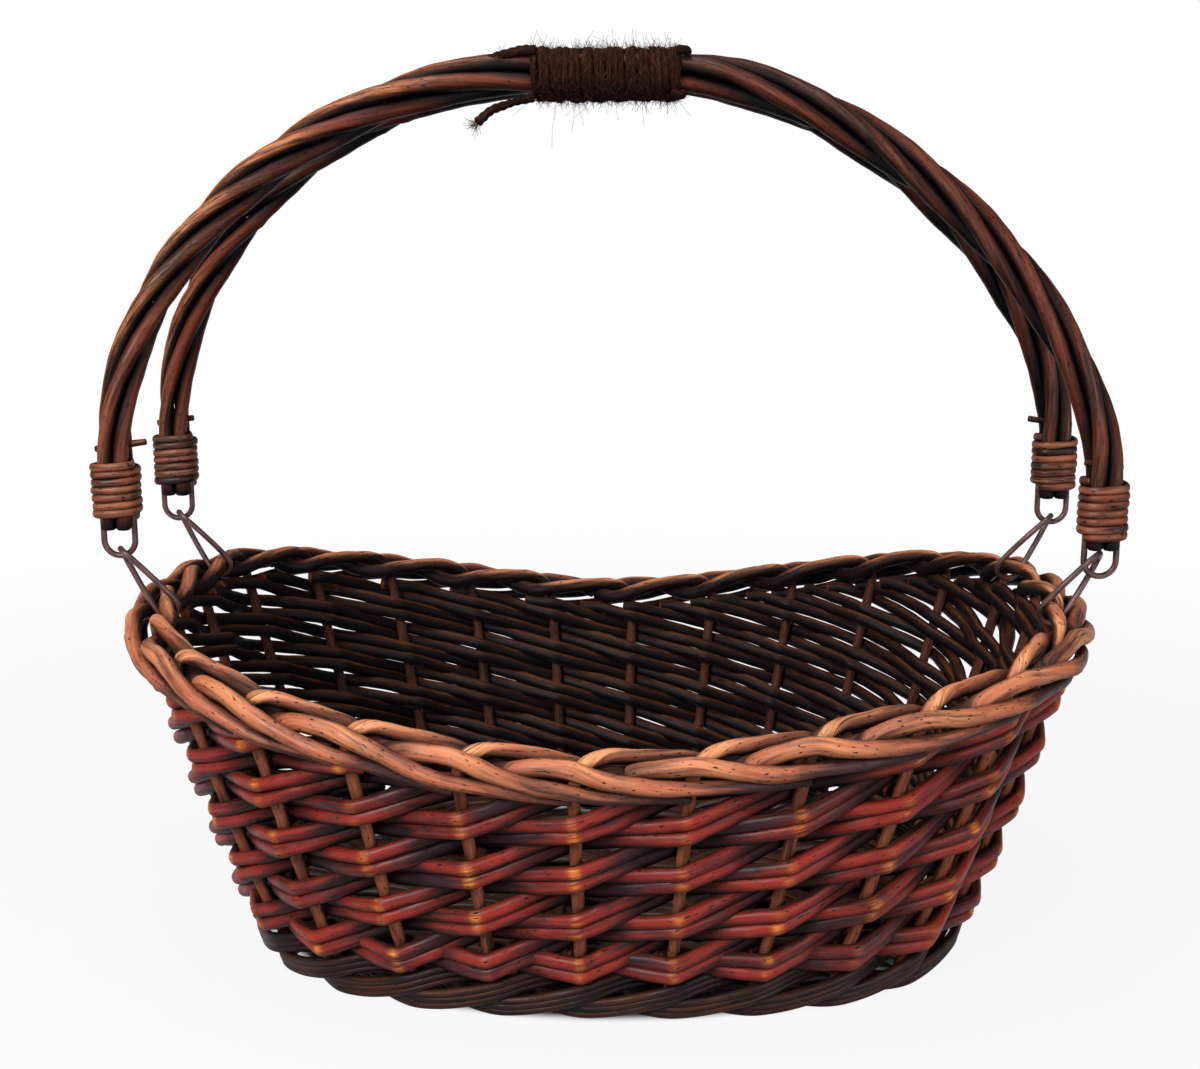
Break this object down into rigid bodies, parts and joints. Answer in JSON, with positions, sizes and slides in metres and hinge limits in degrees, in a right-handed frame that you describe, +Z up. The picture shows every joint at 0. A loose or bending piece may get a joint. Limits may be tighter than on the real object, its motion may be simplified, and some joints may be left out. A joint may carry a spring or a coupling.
{
  "type": "willow basket",
  "caption": "Oval hand basket with an openwork side weave, a rolled border and a twisted double handle hung on wire links.",
  "frame": {"origin": "middle of the underside, on the surface that the basket stands on", "axes": "+X along the basket's length to the right, +Y across it to the back, +Z up"},
  "size_m": [0.451, 0.3232, 0.3979],
  "materials": {
    "stake_willow": "brown steamed willow, fine grain, satin",
    "weaver_willow": "red-brown steamed willow rods, satin, orange where they bend",
    "base_willow": "dark brown willow, matt",
    "handle_willow": "dark red-brown willow rods, satin",
    "binding_willow": "split willow skein, satin",
    "jute": "dark brown jute twine, hairy",
    "wire": "dark brown coated wire, satin"
  },
  "bodies": {
    "basket": {"stake_1": "stake_willow", "stake_2": "stake_willow", "stake_3": "stake_willow", "stake_4": "stake_willow", "stake_5": "stake_willow", "stake_6": "stake_willow", "stake_7": "stake_willow", "stake_8": "stake_willow", "stake_9": "stake_willow", "stake_10": "stake_willow", "stake_11": "stake_willow", "stake_12": "stake_willow", "stake_13": "stake_willow", "stake_14": "stake_willow", "stake_15": "stake_willow", "stake_16": "stake_willow", "stake_17": "stake_willow", "stake_18": "stake_willow", "stake_19": "stake_willow", "stake_20": "stake_willow", "stake_21": "stake_willow", "stake_22": "stake_willow", "stake_23": "stake_willow", "stake_24": "stake_willow", "stake_25": "stake_willow", "stake_26": "stake_willow", "side_weave_1": "weaver_willow", "side_weave_2": "weaver_willow", "side_weave_3": "weaver_willow", "side_weave_4": "weaver_willow", "side_weave_5": "weaver_willow", "side_weave_6": "weaver_willow", "side_weave_7": "weaver_willow", "side_weave_8": "weaver_willow", "side_weave_9": "weaver_willow", "foot_wale": "weaver_willow", "base_frame": "base_willow", "base_weave": "base_willow"},
    "rim_link_front_left": {"rim_link_front_left": "wire"},
    "rim_link_front_right": {"rim_link_front_right": "wire"},
    "rim_link_back_left": {"rim_link_back_left": "wire"},
    "rim_link_back_right": {"rim_link_back_right": "wire"},
    "handle": {"handle_front_rod_1": "handle_willow", "handle_front_rod_2": "handle_willow", "handle_front_rod_3": "handle_willow", "handle_front_rod_4": "handle_willow", "handle_back_rod_1": "handle_willow", "handle_back_rod_2": "handle_willow", "handle_back_rod_3": "handle_willow", "handle_back_rod_4": "handle_willow", "grip_twine": "jute", "binding_front_left": "binding_willow", "binding_front_right": "binding_willow", "binding_back_left": "binding_willow", "binding_back_right": "binding_willow", "handle_loop_front_left": "wire", "handle_loop_front_right": "wire", "handle_loop_back_left": "wire", "handle_loop_back_right": "wire"}
  },
  "joints": [
    {"name": "link_swing_front_left", "type": "hinge", "parent": "basket", "child": "rim_link_front_left", "pos_m": [-0.19252, -0.04409, 0.1484], "axis": [1, 0, 0], "range_deg": [-14, 14]},
    {"name": "handle_sway", "type": "hinge", "parent": "rim_link_front_left", "child": "handle", "pos_m": [-0.215, -0.04409, 0.176], "axis": [1, 0, 0], "range_deg": [-14, 14]},
    {"name": "link_swing_front_right", "type": "hinge", "parent": "basket", "child": "rim_link_front_right", "pos_m": [0.19252, -0.04409, 0.1484], "axis": [1, 0, 0], "range_deg": [-14, 14]},
    {"name": "link_swing_back_left", "type": "hinge", "parent": "basket", "child": "rim_link_back_left", "pos_m": [-0.19252, 0.04409, 0.1484], "axis": [1, 0, 0], "range_deg": [-14, 14]},
    {"name": "link_swing_back_right", "type": "hinge", "parent": "basket", "child": "rim_link_back_right", "pos_m": [0.19252, 0.04409, 0.1484], "axis": [1, 0, 0], "range_deg": [-14, 14]}
  ],
  "couplings": [
    {"joint": "handle_sway", "follows": "link_swing_front_left", "ratio": -1},
    {"joint": "link_swing_front_right", "follows": "link_swing_front_left", "ratio": 1},
    {"joint": "link_swing_back_left", "follows": "link_swing_front_left", "ratio": 1},
    {"joint": "link_swing_back_right", "follows": "link_swing_front_left", "ratio": 1}
  ]
}
